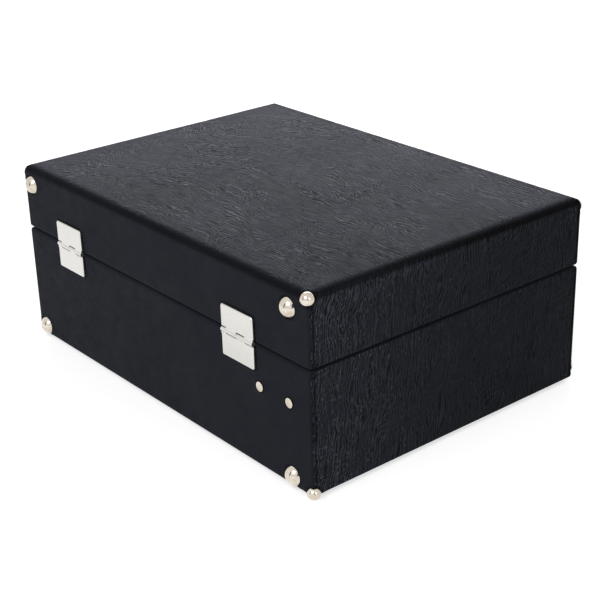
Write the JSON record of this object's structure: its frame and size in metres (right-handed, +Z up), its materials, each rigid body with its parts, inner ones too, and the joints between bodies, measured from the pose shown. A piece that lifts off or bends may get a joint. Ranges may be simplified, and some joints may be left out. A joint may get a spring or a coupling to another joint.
{
  "type": "horn case",
  "caption": "Hard leather-covered instrument case with hinged padded lid, fitted horn bed, slotted lid stays, latches and carrying handle.",
  "frame": {"origin": "centre of the flat underside", "axes": "+X along the hinge line, +Y towards the hinges (back), -Y towards latches and handle (front), +Z up"},
  "size_m": [0.4078, 0.313, 0.1683],
  "materials": {
    "case_leather": "grained, semi-gloss",
    "grip_leather": "smooth",
    "loop_leather": "matte",
    "plush": "napped",
    "lip_wood": "painted black, satin",
    "plywood": "raw",
    "hinge_nickel": "polished nickel",
    "nickel": "polished nickel",
    "steel": "zinc plated"
  },
  "bodies": {
    "base": {"base_cover": "case_leather", "base_bottom_panel": "plywood", "base_back_wall": "plywood", "base_front_wall": "plywood", "base_left_end": "plywood", "base_right_end": "plywood", "base_lip": "lip_wood", "base_lining": "plush", "compartment_divider": "plush", "horn_bed": "plush", "bed_island": "plush", "mouthpiece_loop": "loop_leather", "loop_rivets": "nickel", "base_corner_studs": "nickel", "base_back_feet": "nickel", "left_hinge_base_leaf": "hinge_nickel", "right_hinge_base_leaf": "hinge_nickel", "left_hinge_pin": "steel", "right_hinge_pin": "steel", "base_hinge_studs": "steel", "left_stay_pin": "steel", "right_stay_pin": "steel", "left_lock_case": "nickel", "right_lock_case": "nickel", "lock_case_rivets": "nickel", "left_handle_bracket": "nickel", "right_handle_bracket": "nickel", "left_handle_pin": "steel", "right_handle_pin": "steel", "handle_bracket_rivets": "nickel"},
    "lid": {"lid_cover": "case_leather", "lid_top_panel": "plywood", "lid_back_wall": "plywood", "lid_front_wall": "plywood", "lid_left_end": "plywood", "lid_right_end": "plywood", "lid_lining": "plush", "lid_pad": "plush", "lid_corner_studs": "nickel", "lid_back_feet": "nickel", "left_hinge_lid_leaf": "hinge_nickel", "right_hinge_lid_leaf": "hinge_nickel", "lid_hinge_studs": "steel", "left_stay_pivot": "steel", "right_stay_pivot": "steel", "left_keeper": "nickel", "right_keeper": "nickel", "keeper_rivets": "nickel"},
    "left_stay": {"left_stay_arm": "steel"},
    "right_stay": {"right_stay_arm": "steel"},
    "left_latch": {"left_latch_slider": "nickel"},
    "right_latch": {"right_latch_slider": "nickel"},
    "handle": {"handle_grip": "grip_leather", "left_handle_ferrule": "nickel", "right_handle_ferrule": "nickel"}
  },
  "joints": [
    {"name": "lid_hinge", "type": "hinge", "parent": "base", "child": "lid", "pos_m": [0, 0.1462, 0.104], "axis": [-1, 0, 0], "range_deg": [0, 100]},
    {"name": "left_stay_pivot_turn", "type": "hinge", "parent": "lid", "child": "left_stay", "pos_m": [-0.1864, 0.09635, 0.12724], "axis": [-1, 0, 0], "range_deg": [-50, 0]},
    {"name": "right_stay_pivot_turn", "type": "hinge", "parent": "lid", "child": "right_stay", "pos_m": [0.1864, 0.09635, 0.12724], "axis": [-1, 0, 0], "range_deg": [-50, 0]},
    {"name": "left_latch_slide", "type": "slide", "parent": "base", "child": "left_latch", "axis": [1, 0, 0], "range_m": [0, 0.0045]},
    {"name": "right_latch_slide", "type": "slide", "parent": "base", "child": "right_latch", "axis": [-1, 0, 0], "range_m": [0, 0.0045]},
    {"name": "handle_swing", "type": "hinge", "parent": "base", "child": "handle", "pos_m": [0, -0.1545, 0.075], "axis": [-1, 0, 0], "range_deg": [0, 170]}
  ],
  "couplings": [
    {"joint": "left_stay_pivot_turn", "follows": "lid_hinge", "ratio": -0.5},
    {"joint": "right_stay_pivot_turn", "follows": "lid_hinge", "ratio": -0.5}
  ]
}
